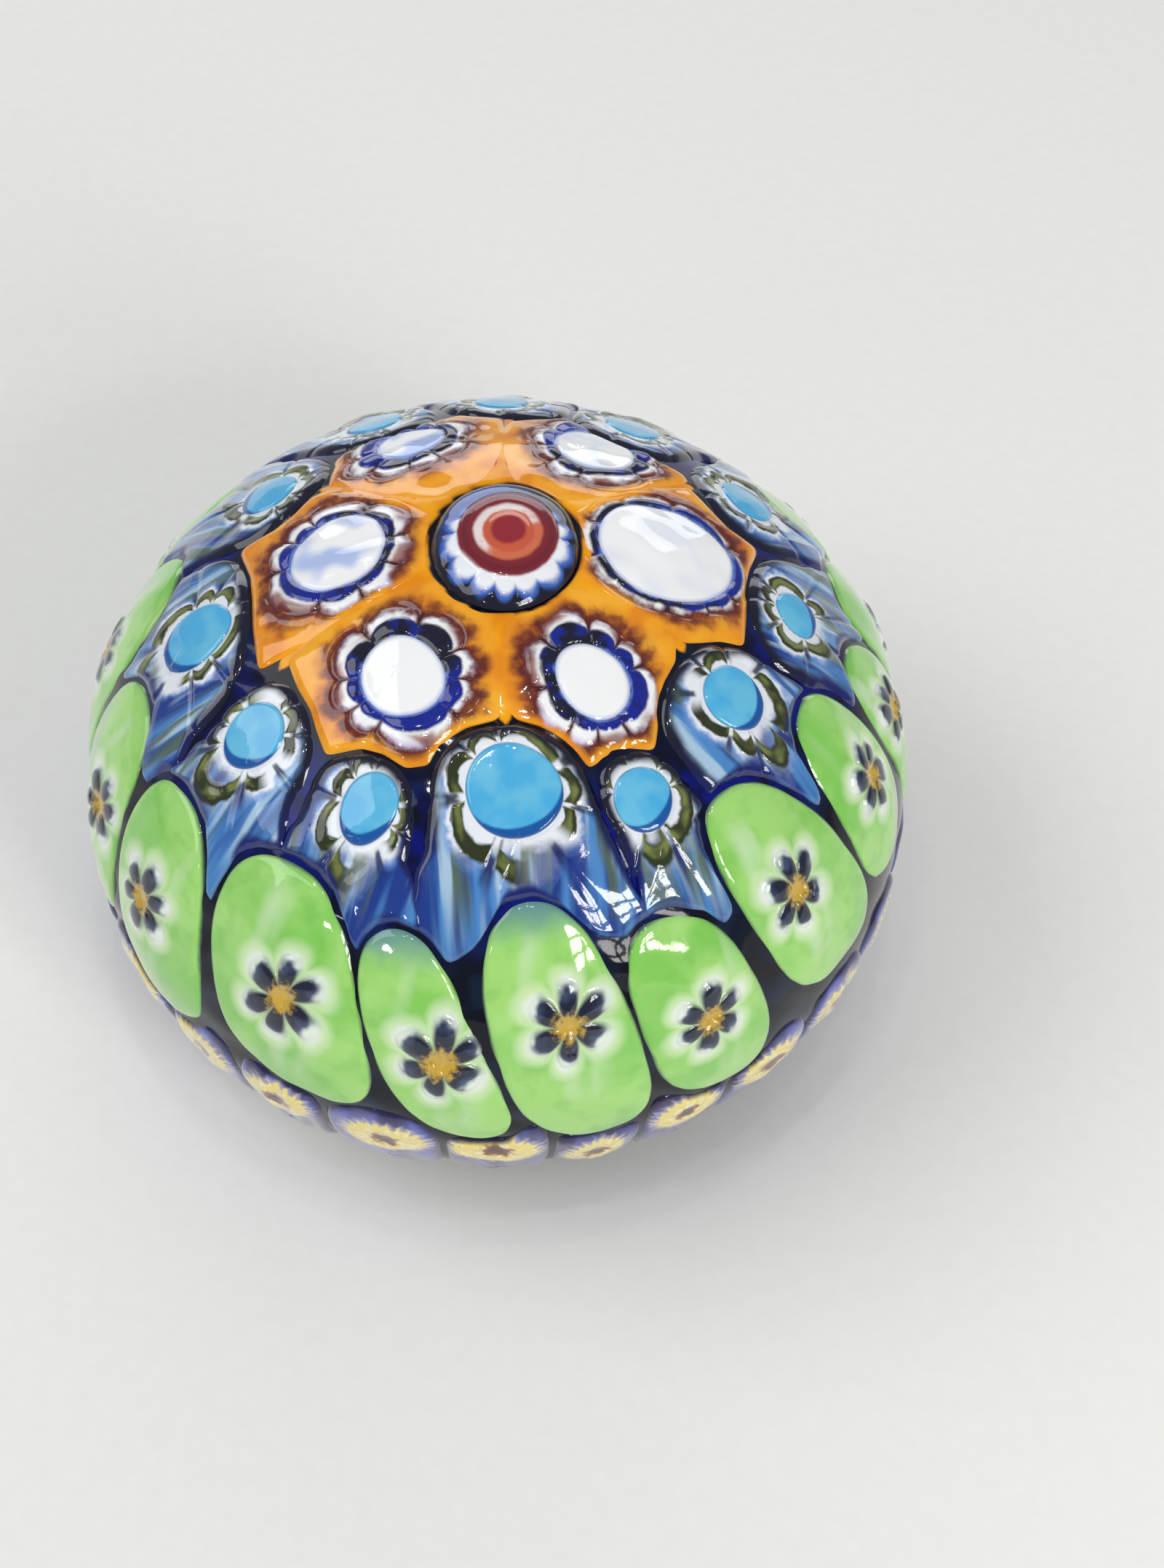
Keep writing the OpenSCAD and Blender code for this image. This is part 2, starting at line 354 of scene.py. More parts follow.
def outer_rim(node):
    """Corners of the rim of a cane's outer face."""
    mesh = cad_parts[node].data
    points = np.empty(len(mesh.vertices) * 3)
    mesh.vertices.foreach_get("co", points)
    points = points.reshape(-1, 3) / MM
    _, first, merged = np.unique(np.round(points, 3), axis=0, return_index=True, return_inverse=True)
    points, merged = points[first], merged.reshape(-1)
    outer = np.abs(unwrap(points)[2]) < ON_SURFACE
    seen = {}
    for face in mesh.polygons:
        corners = [merged[v] for v in face.vertices]
        if all(outer[v] for v in corners):
            for a, b in zip(corners, corners[1:] + corners[:1]):
                edge = (min(a, b), max(a, b))
                seen[edge] = seen.get(edge, 0) + 1
    rim = sorted({v for edge, count in seen.items() if count == 1 for v in edge})
    return points[rim]


def soften(reach, rounding):
    """Rounds an outline off by weakening its short waves."""
    waves = np.fft.rfft(reach)
    waves *= np.exp(-((np.arange(len(waves)) * rounding) ** 2) / 2)
    return np.fft.irfft(waves, STEPS_ROUND)


def smooth_outline(x, y, rounding):
    """Even angles about the origin and the reach of an outline at them, with its corners rounded."""
    order = np.argsort(np.arctan2(x, -y))
    x, y = x[order], y[order]
    steps = np.arange(SIDE_STEPS)[:, None] / SIDE_STEPS
    x = (x + (np.roll(x, -1) - x) * steps).ravel()
    y = (y + (np.roll(y, -1) - y) * steps).ravel()
    turn, reach = np.arctan2(x, -y), np.hypot(x, y)
    order = np.argsort(turn)
    even = (np.arange(STEPS_ROUND) + 0.5) / STEPS_ROUND * TURN - math.pi
    return even, soften(np.interp(even, turn[order], reach[order], period=TURN), rounding)


def patch_under(rim):
    """The patch at the middle of the area that a rim encloses."""
    arc, azimuth, _ = unwrap(rim.mean(0))
    patch = Patch(float(arc), float(azimuth))
    for _ in range(2):
        turn, reach = smooth_outline(*patch.flatten(rim), MIDDLE_ROUNDING)
        weight = reach**3
        moments = np.array([(weight * np.sin(turn)).sum(), -(weight * np.cos(turn)).sum()])
        middle = moments * 2 / 3 / (reach**2).sum()
        arc, azimuth, _ = unwrap(patch.origin + middle[0] * patch.across + middle[1] * patch.upslope)
        patch = Patch(float(arc), float(azimuth))
    return patch


class Cane:
    """One slice of cane: its patch of the body and its outline, rounded and grown a little."""

    def __init__(self, node, rounding, grow):
        self.node = node
        self.middle = np.zeros(2)
        rim = outer_rim(node)
        if node == CROWN_CANE:
            self.patch = Patch(1e-6, 0.0)
            x, y = self.patch.flatten(rim)
            self.middle = np.array([x.max() + x.min(), y.max() + y.min()]) / 2
            x, y = x - self.middle[0], y - self.middle[1]
            on_rim = np.hypot(x, y) > 0.8 * np.hypot(x, y).max()
            x, y = x[on_rim], y[on_rim]
        else:
            self.patch = patch_under(rim)
            x, y = self.patch.flatten(rim)
        self.turn, self.reach = smooth_outline(x, y, rounding)
        self.reach = self.reach + grow
        self.half_width = (x.max() - x.min()) / 2
        self.top = y.max()

    def rim(self):
        """Points of the outline on the surface."""
        x, y = self.reach * np.sin(self.turn), -self.reach * np.cos(self.turn)
        return self.patch.raise_up(x, y, np.zeros_like(x))

    def beyond(self, points):
        """How far points of the surface lie outside the outline."""
        x, y = self.patch.flatten(points)
        x, y = x - self.middle[0], y - self.middle[1]
        return np.hypot(x, y) - np.interp(np.arctan2(x, -y), self.turn, self.reach, period=TURN)

    def flow_down(self, neighbours, most, margin):
        """Grows the lower part of the outline into the free room before the neighbours."""
        down = smooth(np.cos(self.turn), 0.1, 0.6)
        extra = np.arange(0.0, most, FLOW_STEP)
        reach = self.reach + extra[:, None] * down
        x, y = reach * np.sin(self.turn), -reach * np.cos(self.turn)
        points = self.patch.raise_up(x, y, np.zeros_like(x))
        taken = np.zeros(x.shape, bool)
        for other in neighbours:
            if np.linalg.norm(other.patch.origin - self.patch.origin) < NEARBY:
                taken |= other.beyond(points) < margin
        taken = np.maximum.accumulate(taken, 0)
        free = np.maximum((~taken).sum(0) - 1, 0)
        self.reach = soften(self.reach + extra[free] * down, TAIL_ROUNDING)

    def lay_grid(self, spacing):
        """Lays rings of points from the middle to the rim, with their distance inside the rim, and gives
        their coordinates."""
        largest = self.reach.max()
        inner = np.arange(spacing, largest - 1.0, spacing) / largest
        share = np.concatenate([[0.0], inner, 1 - EDGE_RINGS / largest])
        self.x = share[:, None] * self.reach * np.sin(self.turn)
        self.y = -share[:, None] * self.reach * np.cos(self.turn)
        self.inside = (1 - share[:, None]) * self.reach * np.ones_like(self.x)
        return self.x, self.y


# ---- Relief that all canes share ----
FINE = 0.2
EDGE_ROUND = 1.1
EDGE_DROP = 0.42
WALL_DROP = 1.0
AMBER_DROP = 0.02


def rounded_edge(inside, drop):
    """Gentle fall of a fire-polished edge towards the joint, then the wall inside the joint."""
    t = np.clip(1 - inside / EDGE_ROUND, 0, 1)
    return -drop * t**2.4 - np.where(inside < 0.01, WALL_DROP - drop, 0)


def amber_drop(arc):
    """Amber slices melt into each other, and fall only towards the ring of turquoise ones."""
    return AMBER_DROP + 0.3 * smooth(arc, 15.0, 18.5)


def pebble(cane, rise, sink):
    """Gentle swelling of a cane between its edges, which are sunk a little."""
    return rise * (1 - np.clip(1 - cane.inside / cane.reach.max(), 0, 1) ** 2.2) - sink


def groove(distance, width, depth):
    """A dip along the line where distance is 0."""
    return -depth * np.exp(-((distance / width) ** 2))


def eye_field(x, y, centre, half_width, half_height, rng, wobble):
    """Coordinates about an oval eye in units of its size, and the distance outside its wavy rim in
    millimetres."""
    ex = (x - centre[0]) / half_width
    ey = (y - centre[1]) / half_height
    turn = np.arctan2(ex, -ey)
    wave = np.sin(2 * turn + rng.uniform(0, TURN)) + 0.6 * np.sin(3 * turn + rng.uniform(0, TURN))
    reach = np.hypot(ex, ey) / (1 + wobble * wave)
    return ex, ey, (reach - 1) * (half_width * half_height) ** 0.5


def build_cane(cane, eye, seed, height, material, look=(0.0, 0.0, 0.0), drop=EDGE_DROP):
    """Makes the mesh of a cane. Its material reads three vectors: eye, the place in the pattern; rims,
    the distance from the rim, the distance downhill and the seed; and look, the sizes of the pattern."""
    relief = height + rounded_edge(cane.inside, drop)
    points = at_vertices(cane.patch.raise_up(cane.x + cane.middle[0], cane.y + cane.middle[1], relief))
    rims = (cane.inside, -cane.y, np.full_like(cane.x, seed))
    attributes = {
        "eye": at_vertices(np.stack(eye, -1)),
        "rims": at_vertices(np.stack(rims, -1)),
        "look": np.tile(np.array(look, float), (len(points), 1)),
    }
    rows, columns = cane.x.shape
    faces = disc_faces(rows - 1, columns)
    make_object(cane.node + "_glass", points, faces, attributes, material, cane.node)


# ---- Materials ----
def linear(red, green, blue):
    """Screen colour, 0 to 255, as a linear colour."""
    def channel(c):
        c /= 255
        return c / 12.92 if c <= 0.04045 else ((c + 0.055) / 1.055) ** 2.4
    return (channel(red), channel(green), channel(blue), 1.0)


COATED_GLASS = {
    "IOR": 1.5,
    "Specular IOR Level": 0.12,
    "Coat Weight": 1.0,
    "Coat Roughness": 0.02,
    "Coat IOR": 1.52,
}
GRAIN_HEIGHT = 0.0004


class Glass:
    """A material with one Principled shader, and short calls for the nodes that feed it."""

    def __init__(self, name):
        self.material = bpy.data.materials.new(name)
        self.material.use_nodes = True
        self.tree = self.material.node_tree
        self.shader = self.tree.nodes["Principled BSDF"]
        for socket, value in COATED_GLASS.items():
            self.shader.inputs[socket].default_value = value

    def vector(self, name):
        """The three parts of a vector that the mesh carries at its vertices."""
        node = self.tree.nodes.new("ShaderNodeAttribute")
        node.attribute_name = name
        split = self.tree.nodes.new("ShaderNodeSeparateXYZ")
        self.tree.links.new(node.outputs["Vector"], split.inputs[0])
        return [Field(self.tree, split.outputs[i]) for i in range(3)]

    def noise(self, scale, detail=2.0, stretch=(1.0, 1.0, 1.0), shift=0.0, at=None):
        """Noise between about 0.2 and 0.8, at features per millimetre of the object or of the place at."""
        texture = self.tree.nodes.new("ShaderNodeTexNoise")
        texture.inputs["Scale"].default_value = 1.0
        texture.inputs["Detail"].default_value = detail
        if at is None:
            place = self.tree.nodes.new("ShaderNodeNewGeometry").outputs["Position"]
            scale = scale / MM
        else:
            combine = self.tree.nodes.new("ShaderNodeCombineXYZ")
            for value, socket in zip(at, combine.inputs):
                connect(self.tree, value, socket)
            place = combine.outputs[0]
        mapping = self.tree.nodes.new("ShaderNodeMapping")
        mapping.inputs["Scale"].default_value = [scale * s for s in stretch]
        mapping.inputs["Location"].default_value = (shift, shift * 0.7, -shift)
        self.tree.links.new(place, mapping.inputs["Vector"])
        self.tree.links.new(mapping.outputs[0], texture.inputs["Vector"])
        return Field(self.tree, texture.outputs["Fac"])

    def mix(self, first, second, share):
        """The first colour where share is 0, the second where it is 1."""
        node = self.tree.nodes.new("ShaderNodeMix")
        node.data_type = "RGBA"
        connect(self.tree, share, node.inputs[0])
        for colour, socket in ((first, node.inputs[6]), (second, node.inputs[7])):
            if isinstance(colour, tuple):
                socket.default_value = colour
            else:
                self.tree.links.new(colour, socket)
        return node.outputs[2]

    def finish(self, colour, bump=0.02, roughness=None):
        """Gives the shader its colour, faint grain and roughness, and returns the material."""
        self.tree.links.new(colour, self.shader.inputs["Base Color"])
        grain = self.noise(1.6, detail=3.0)
        node = self.tree.nodes.new("ShaderNodeBump")
        node.inputs["Strength"].default_value = bump
        node.inputs["Distance"].default_value = GRAIN_HEIGHT
        self.tree.links.new(grain.socket, node.inputs["Height"])
        self.tree.links.new(node.outputs[0], self.shader.inputs["Normal"])
        self.tree.links.new(node.outputs[0], self.shader.inputs["Coat Normal"])
        if roughness is None:
            roughness = 0.08 + 0.12 * self.noise(0.5, shift=3.0)
        self.tree.links.new(roughness.socket, self.shader.inputs["Roughness"])
        return self.material


WHITE = linear(250, 250, 250)
INK = linear(8, 9, 34)
NAVY = linear(8, 10, 40)
DEEP_BLUE = linear(4, 24, 104)
COBALT = linear(4, 30, 142)

ORANGE = linear(250, 166, 20)
BRIGHT_ORANGE = linear(255, 188, 48)
DEEP_ORANGE = linear(236, 142, 10)
RUSSET = linear(168, 74, 30)
MAROON = linear(92, 22, 22)
DARK_MAROON = linear(52, 10, 18)
LILAC = linear(205, 195, 226)
MAUVE = linear(150, 90, 110)
PALE_COBALT = linear(120, 150, 225)
BLUE_MILK = linear(140, 172, 236)
MILK_EDGE = linear(110, 140, 220)

TAIL_BLUE = linear(16, 54, 138)
TAIL_LIGHT = linear(74, 136, 200)
TAIL_PALE = linear(176, 206, 226)
TAIL_OLIVE = linear(82, 100, 74)
BLUISH_WHITE = linear(236, 240, 246)
SKY = linear(112, 156, 220)
DARK_MOSS = linear(40, 48, 16)
LIGHT_MOSS = linear(118, 128, 66)
TURQUOISE = linear(72, 176, 226)
PALE_TURQUOISE = linear(104, 192, 228)
CRESCENT_BLUE = linear(2, 84, 160)
BUTTON_EDGE = linear(14, 50, 120)

GREEN = linear(132, 204, 88)
LIGHT_GREEN = linear(164, 220, 116)
DEEP_GREEN = linear(112, 184, 74)
GREENISH_WHITE = linear(222, 236, 212)
PALE_GREEN = linear(214, 236, 190)
TIP_GREY = linear(140, 160, 158)
TIP_WHITE = linear(236, 241, 238)
PETAL_DARK = linear(16, 24, 50)
PETAL_LIGHT = linear(62, 76, 110)
GOLD = linear(204, 166, 58)
GREEN_JOINT = linear(18, 34, 54)
HAZE = linear(104, 152, 146)
HAZE_LENGTH = 4.4

DARK_VIOLET = linear(48, 44, 96)
VIOLET = linear(96, 102, 184)
DUSKY_VIOLET = linear(90, 74, 98)
PALE_VIOLET = linear(176, 172, 200)
YELLOW = linear(240, 220, 124)
CREAM = linear(250, 240, 190)
BROWN = linear(132, 62, 34)
DARK_BROWN = linear(58, 20, 28)
VIOLET_JOINT = linear(24, 20, 58)

CROWN_REFLECTION_BLUE = linear(58, 92, 180)
RUFFLE_BLUE = linear(64, 108, 200)
RUFFLE_WHITE = linear(244, 246, 250)
WINE = linear(126, 28, 42)
DARK_WINE = linear(96, 18, 34)
ROSE_WHITE = linear(240, 226, 222)
SALMON = linear(214, 110, 74)
TERRACOTTA = linear(206, 92, 58)
CRIMSON = linear(150, 30, 44)

BODY_BLACK = linear(6, 9, 24)
BODY_TEAL = linear(12, 30, 52)
BODY_INK = linear(4, 5, 30)
BODY_COBALT = linear(2, 16, 120)
GROUND_DARK = linear(40, 44, 66)
GROUND_LIGHT = linear(58, 62, 86)

PAPER_DARK = linear(240, 239, 234)
PAPER_LIGHT = linear(246, 245, 241)


def orange_casing(glass):
    """Colour of the amber casing, on the canes and in the joints between them, and the noise it follows."""
    wander = glass.noise(0.32, shift=1.0)
    casing = glass.mix(DEEP_ORANGE, ORANGE, smooth(wander, 0.34, 0.55))
    return glass.mix(casing, BRIGHT_ORANGE, smooth(wander, 0.52, 0.7) * 0.6), wander


def amber_material():
    """A white eye in a scalloped blue ring and pale petals, in an orange casing."""
    glass = Glass("amber_glass")
    ex, ey, d = glass.vector("eye")
    inside, _, seed = glass.vector("rims")
    ring, petal, milk = glass.vector("look")
    turn = angle(ex, ey)
    fine = glass.noise(1.1, detail=3.0, shift=5.0)
    casing, wander = orange_casing(glass)
    outside = smooth(d, 0.0, 0.5)
    ring_edge, petal_edge, bump = ring_edges(turn, ring, petal, seed)
    ring_edge = ring_edge + (fine - 0.5) * 0.35
    beyond = d - petal_edge + (fine - 0.5) * 1.3 * outside

    halo = smooth(beyond + (wander - 0.5) * 3.4, 2.9, 0.4) * smooth(inside, 0.2, 1.8)
    casing = glass.mix(casing, RUSSET, halo * 0.85)
    flame = smooth(beyond + (fine - 0.5) * 1.6 + (wander - 0.5) * 2.4, 1.9, 0.2) * smooth(inside, 0.1, 1.2)
    casing = glass.mix(casing, MAROON, flame * 0.95)

    petals = glass.mix(WHITE, LILAC, smooth(d - ring_edge + (fine - 0.5), 0.3, 1.2))
    petals = glass.mix(petals, MAUVE, smooth(bump, 0.4, 0.1) * 0.6)
    burnt = smooth(glass.noise(0.24, detail=1.0, shift=11.0), 0.5, 0.62) * smooth(d - ring_edge, -0.1, 0.5)
    petals = glass.mix(petals, glass.mix(MAROON, RUSSET, fine), burnt * 0.8)
    colour = glass.mix(casing, petals, smooth(beyond + (wander - 0.5) * 1.6, 0.3, -0.5))
    slit = smooth(bump, 0.2, 0.04) * smooth(d - petal_edge, 1.0, 0.1) * outside
    colour = glass.mix(colour, DARK_MAROON, slit * 0.95)

    # The navy ring turns cobalt partly at random and partly as a painted highlight on its lower right side;
    # the pale cobalt at its inner edge follows that painted highlight.
    light = smooth(wander + 0.2 * cosine(turn - 0.5) + (fine - 0.5) * 1.2, 0.3, 0.68)
    blue = glass.mix(INK, COBALT, light)
    blue = glass.mix(blue, PALE_COBALT, smooth(d, 0.28, 0.06) * light * 0.7)
    colour = glass.mix(colour, blue, smooth(d - ring_edge, 0.12, -0.16))

    clouds = smooth(glass.noise(0.25, detail=1.0, shift=7.0), 0.46, 0.62) * milk
    white = glass.mix(WHITE, BLUE_MILK, clouds)
    white = glass.mix(white, MILK_EDGE, smooth(d, -0.4, 0.0) * 0.5)
    return glass.finish(glass.mix(colour, white, smooth(d, 0.06, -0.1)))


def turquoise_material():
    """A turquoise button in a broken olive band, pale petals, and a tail of blue streaks."""
    glass = Glass("turquoise_glass")
    ex, ey, d = glass.vector("eye")
    inside, drop, seed = glass.vector("rims")
    half_height, _, _ = glass.vector("look")
    turn = angle(ex, ey)
    fine = glass.noise(1.1, detail=3.0, shift=2.0)
    cloud = glass.noise(0.4, shift=4.0)
    d = d + (fine - 0.5) * 0.5 * smooth(d, 0.0, 0.4)
    olive, band, bump = olive_arcs(d, turn, seed)

    def streaks(width, start, end, shift):
        pulled = glass.noise(1.0, stretch=(width, width * 0.09, 1.0), shift=shift, at=(ex, ey, seed))
        return smooth(pulled, start, end)

    tail = glass.mix(TAIL_BLUE, TAIL_LIGHT, streaks(0.55, 0.38, 0.58, 0.0))
    tail = glass.mix(tail, TAIL_PALE, streaks(0.8, 0.47, 0.64, 3.0) * smooth(drop, 11.0, 2.0) * 0.9)
    tail = glass.mix(tail, TAIL_OLIVE, streaks(0.7, 0.52, 0.64, 7.0) * smooth(drop, 9.0, 3.0) * 0.9)
    tail = glass.mix(tail, DEEP_BLUE, smooth(drop, 5.0, 11.0) * 0.2 + streaks(0.5, 0.55, 0.7, 11.0) * 0.5)

    petals = glass.mix(BLUISH_WHITE, SKY, smooth(band + (fine - 0.5), 0.5, 1.2))
    below = smooth(ey + half_height + (fine - 0.5) * 1.4, 0.1, -1.3)
    petals = glass.mix(petals, tail, higher(smooth(band + (cloud - 0.5), 0.7, 1.5), below * 0.85))
    dark = glass.mix(NAVY, DEEP_BLUE, smooth(drop, -3.0, 4.0))
    notch = smooth(bump, 0.36, 0.1) * smooth(d, 0.35, 0.8) * smooth(band, 2.2, 0.8)
    colour = glass.mix(petals, dark, notch * 0.9)
    light = smooth(absolute(band + 0.12), 0.4, 0.1) * smooth(cloud, 0.4, 0.6)
    colour = glass.mix(colour, glass.mix(DARK_MOSS, LIGHT_MOSS, light), olive)
    above = smooth(ey, -3.0, 3.0)
    edge = inside - 0.7 + 0.15 * above + 1.2 * smooth(drop, 4.0, 7.0) + (cloud - 0.5) * 0.8
    colour = glass.mix(colour, dark, smooth(edge, 0.75, -0.1))

    button = glass.mix(TURQUOISE, PALE_TURQUOISE, smooth(cloud, 0.35, 0.65))
    crescent = smooth(d + higher(cosine(turn - 0.3), 0.0) * 0.95, 0.0, 0.26)
    button = glass.mix(button, CRESCENT_BLUE, crescent)
    button = glass.mix(button, BUTTON_EDGE, smooth(d, -0.14, 0.0) * 0.7)
    return glass.finish(glass.mix(colour, button, smooth(d, 0.05, -0.08)))


def green_material():
    """A dark six-petal flower on streaky light green, with haze over the upper edge."""
    glass = Glass("green_glass")
    ex, ey, _ = glass.vector("eye")
    inside, drop, seed = glass.vector("rims")
    haze_top, _, _ = glass.vector("look")
    cloud = glass.noise(0.16, detail=3.0, shift=6.0)
    soft = glass.noise(0.5, shift=9.0)
    base = glass.mix(GREEN, LIGHT_GREEN, smooth(cloud, 0.36, 0.62))
    base = glass.mix(base, DEEP_GREEN, smooth(soft, 0.5, 0.7) * 0.3)
    streak = glass.noise(0.4, detail=1.0, stretch=(1.0, 0.1, 1.0), at=(ex, ey, seed))
    upward = smooth(ey, 1.0, 3.0) * smooth(ey, 8.5, 4.5) * smooth(absolute(ex), 3.8, 2.0)
    downward = smooth(ey, -1.5, -3.4) * smooth(ey, -7.5, -4.5) * smooth(absolute(ex), 3.4, 1.6)
    base = glass.mix(base, GREENISH_WHITE, smooth(streak, 0.46, 0.66) * (upward * 0.7 + downward * 0.45))

    lobe, out = petal_shape(ex, ey, 2.0, 1.65, 1.02, seed)
    core, along = petal_shape(ex, ey, 1.66, 1.4, 0.8, seed)
    lobe = lobe + (soft - 0.5) * 0.5
    colour = glass.mix(base, PALE_GREEN, smooth(lobe, 2.6, 0.8) * 0.85)
    side = glass.noise(0.55, shift=9.0, at=(ex, ey, seed))
    tip = glass.mix(TIP_GREY, TIP_WHITE, smooth(out + (side - 0.5) * 1.5, -0.1, 0.8))
    colour = glass.mix(colour, tip, smooth(lobe, 1.15, 0.45) * smooth(out, -0.7, 0.5) * 0.85)
    fade = along + (side - 0.5) * 3.0
    petal = glass.mix(PETAL_DARK, PETAL_LIGHT, smooth(fade, 0.2, 1.0))
    colour = glass.mix(colour, petal, smooth(core + smooth(fade, 0.4, 1.4) * 0.8, 1.25, 0.55))
    fuzz = glass.noise(2.4, detail=3.0, shift=1.5)
    colour = glass.mix(colour, GOLD, smooth(length(ex, ey) + (fuzz - 0.5) * 1.8, 1.4, 0.55))

    colour = glass.mix(GREEN_JOINT, colour, smooth(inside + (soft - 0.5) * 0.3, 0.08, 0.55))
    clear = smooth(drop + (soft - 0.5) * 2.4, haze_top, haze_top + HAZE_LENGTH)
    return glass.finish(glass.mix(HAZE, colour, clear))


def skirt_material():
    """A ragged yellow flower with a brown middle on violet."""
    glass = Glass("skirt_glass")
    ex, ey, d = glass.vector("eye")
    inside, _, seed = glass.vector("rims")
    fine = glass.noise(1.6, detail=3.0, shift=2.0)
    cloud = glass.noise(0.4, shift=8.0)
    streak = glass.noise(0.9, stretch=(1.0, 0.12, 1.0), at=(ex, ey, seed))
    base = glass.mix(DARK_VIOLET, VIOLET, smooth(streak, 0.38, 0.6))
    base = glass.mix(base, DUSKY_VIOLET, smooth(cloud, 0.5, 0.7) * 0.7)

    rays = lobes(angle(ex, ey) + (fine - 0.5) * 0.3, SKIRT_RAYS)
    edge = d + (fine - 0.5) * 1.1 + rays * 0.5
    colour = glass.mix(base, PALE_VIOLET, smooth(edge, 1.15, 0.5) * 0.75)
    colour = glass.mix(colour, YELLOW, smooth(edge, 0.55, 0.1))
    colour = glass.mix(colour, CREAM, smooth(fine, 0.48, 0.6) * smooth(edge, 0.3, 0.0) * 0.8)
    reach = length(ex, ey)
    colour = glass.mix(colour, BROWN, smooth(reach + (fine - 0.5) * 0.6, 0.5, 0.26))
    colour = glass.mix(colour, DARK_BROWN, smooth(reach + (fine - 0.5) * 0.3, 0.26, 0.1))
    return glass.finish(glass.mix(VIOLET_JOINT, colour, smooth(inside, 0.05, 0.7)))


def crown_material():
    """Red, salmon and white rings in a white ruffle on dark blue."""
    glass = Glass("crown_glass")
    ex, ey, _ = glass.vector("eye")
    inside, _, _ = glass.vector("rims")
    fine = glass.noise(0.9, detail=3.0, shift=3.0)
    reach = length(ex, ey) + (fine - 0.5) * 0.25
    # The dark outer ring goes from ink to blue towards the upper left: a painted reflection.
    light = smooth(ey * 0.3 - ex * 0.3 + (fine - 0.5), 0.4, 2.4) * smooth(inside, 0.3, 1.6)
    tip, _ = crown_ruffle(ex, ey)
    tip = tip + (fine - 0.5) * 0.5
    colour = glass.mix(glass.mix(INK, CROWN_REFLECTION_BLUE, light), RUFFLE_BLUE, smooth(tip, 0.45, 0.0) * 0.9)
    colour = glass.mix(colour, RUFFLE_WHITE, smooth(tip, 0.04, -0.6))
    colour = glass.mix(colour, WINE, smooth(reach, 3.95, 3.7))
    colour = glass.mix(colour, DARK_WINE, smooth(absolute(reach - 3.3), 0.34, 0.1) * 0.5)
    pale = glass.mix(ROSE_WHITE, SALMON, smooth((ey - ex) * 0.28 + (fine - 0.5) * 1.4, 0.3, -0.4))
    colour = glass.mix(colour, pale, smooth(reach, 2.75, 2.4))
    colour = glass.mix(colour, TERRACOTTA, smooth(reach, 2.1, 1.8))
    colour = glass.mix(colour, CRIMSON, smooth(reach, 1.5, 1.1))
    return glass.finish(glass.mix(INK, colour, smooth(inside, 0.02, 0.5)))


def body_material():
    """Dark glass, bluer beside the turquoise canes, amber between the amber ones, and ground underneath."""
    glass = Glass("cobalt_glass")
    glass.shader.inputs["Coat Weight"].default_value = 0.28
    amber, ground, arc = glass.vector("joint")
    cloud = glass.noise(0.3, shift=2.0)
    dark = glass.mix(BODY_BLACK, BODY_TEAL, smooth(cloud, 0.45, 0.65))
    blue = glass.mix(BODY_INK, BODY_COBALT, smooth(cloud, 0.35, 0.6))
    dark = glass.mix(dark, blue, smooth(arc, 35.0, 27.0) * smooth(arc, 19.0, 25.0))
    casing, _ = orange_casing(glass)
    colour = glass.mix(dark, casing, smooth(amber, 0.3, 0.9))
    colour = glass.mix(colour, glass.mix(GROUND_DARK, GROUND_LIGHT, glass.noise(6.0)), ground)
    return glass.finish(colour, bump=0.015, roughness=0.1 + 0.4 * ground)


# ---- The canes ----
AMBER_SEED = 100
AMBER_ROUNDING = 0.03
AMBER_GROW = 0.15
AMBER_EYES = {
    # half width, half height, to the right and up from the middle of the slice, ring, petals, milkiness
    1: (3.3, 3.1, 0.6, -0.2, 1.45, 0.95, 0.0),
    2: (2.7, 3.1, -0.4, -1.0, 1.35, 0.85, 0.0),
    3: (5.2, 5.5, -0.2, 0.9, 0.85, 0.3, 0.15),
    4: (3.2, 3.4, -0.8, -1.2, 1.3, 0.7, 0.3),
    5: (2.8, 2.6, 0.5, -1.8, 1.5, 0.7, 0.8),
    6: (3.8, 3.9, -0.1, 1.2, 1.1, 1.0, 0.7),
}


def build_amber(material):
    for number, node in enumerate(names("amber_cane"), 1):
        rng = np.random.default_rng(AMBER_SEED + number)
        half_width, half_height, right, up, ring, petal, milk = AMBER_EYES[number]
        cane = Cane(node, AMBER_ROUNDING, AMBER_GROW)
        x, y = cane.lay_grid(FINE)
        ex, ey, d = eye_field(x, y, (right, up), half_width, half_height, rng, 0.035)
        seed = rng.uniform(0, math.pi)
        ring_edge, petal_edge, bump = ring_edges(np.arctan2(ex, -ey), ring, petal, seed)
        past_ring, past_petals = d - ring_edge, d - petal_edge
        outside = smooth(d, -0.1, 0.25)
        # The white eye stands highest, then the ring, then the petals, with grooves between them.
        height = pebble(cane, 0.15, 0.1)
        height += 0.14 * smooth(d, 0.12, -0.14) + 0.06 * smooth(d, 0.0, -half_width)
        height += 0.14 * smooth(past_ring, 0.2, -0.3) * (0.4 + 0.6 * bump) * outside
        height += 0.12 * smooth(past_petals, 0.3, -0.5) * bump * outside
        height += groove(d, 0.16, 0.08) + groove(past_ring, 0.14, 0.07) * outside
        height += (groove(past_petals - 0.25, 0.25, 0.07) - groove(past_petals - 0.75, 0.25, 0.05)) * outside
        height -= 0.1 * smooth(bump, 0.3, 0.0) * smooth(d, 0.1, 0.5) * smooth(past_petals, 1.2, 0.2)
        height += 0.06 * ripples(x, y, rng, 6, 4.0) * smooth(cane.inside, 0.0, 1.5)
        arc = unwrap(cane.patch.raise_up(x, y, np.zeros_like(x)))[0]
        build_cane(cane, (ex, ey, d), seed, height, material,
                   look=(ring, petal, milk), drop=amber_drop(arc))


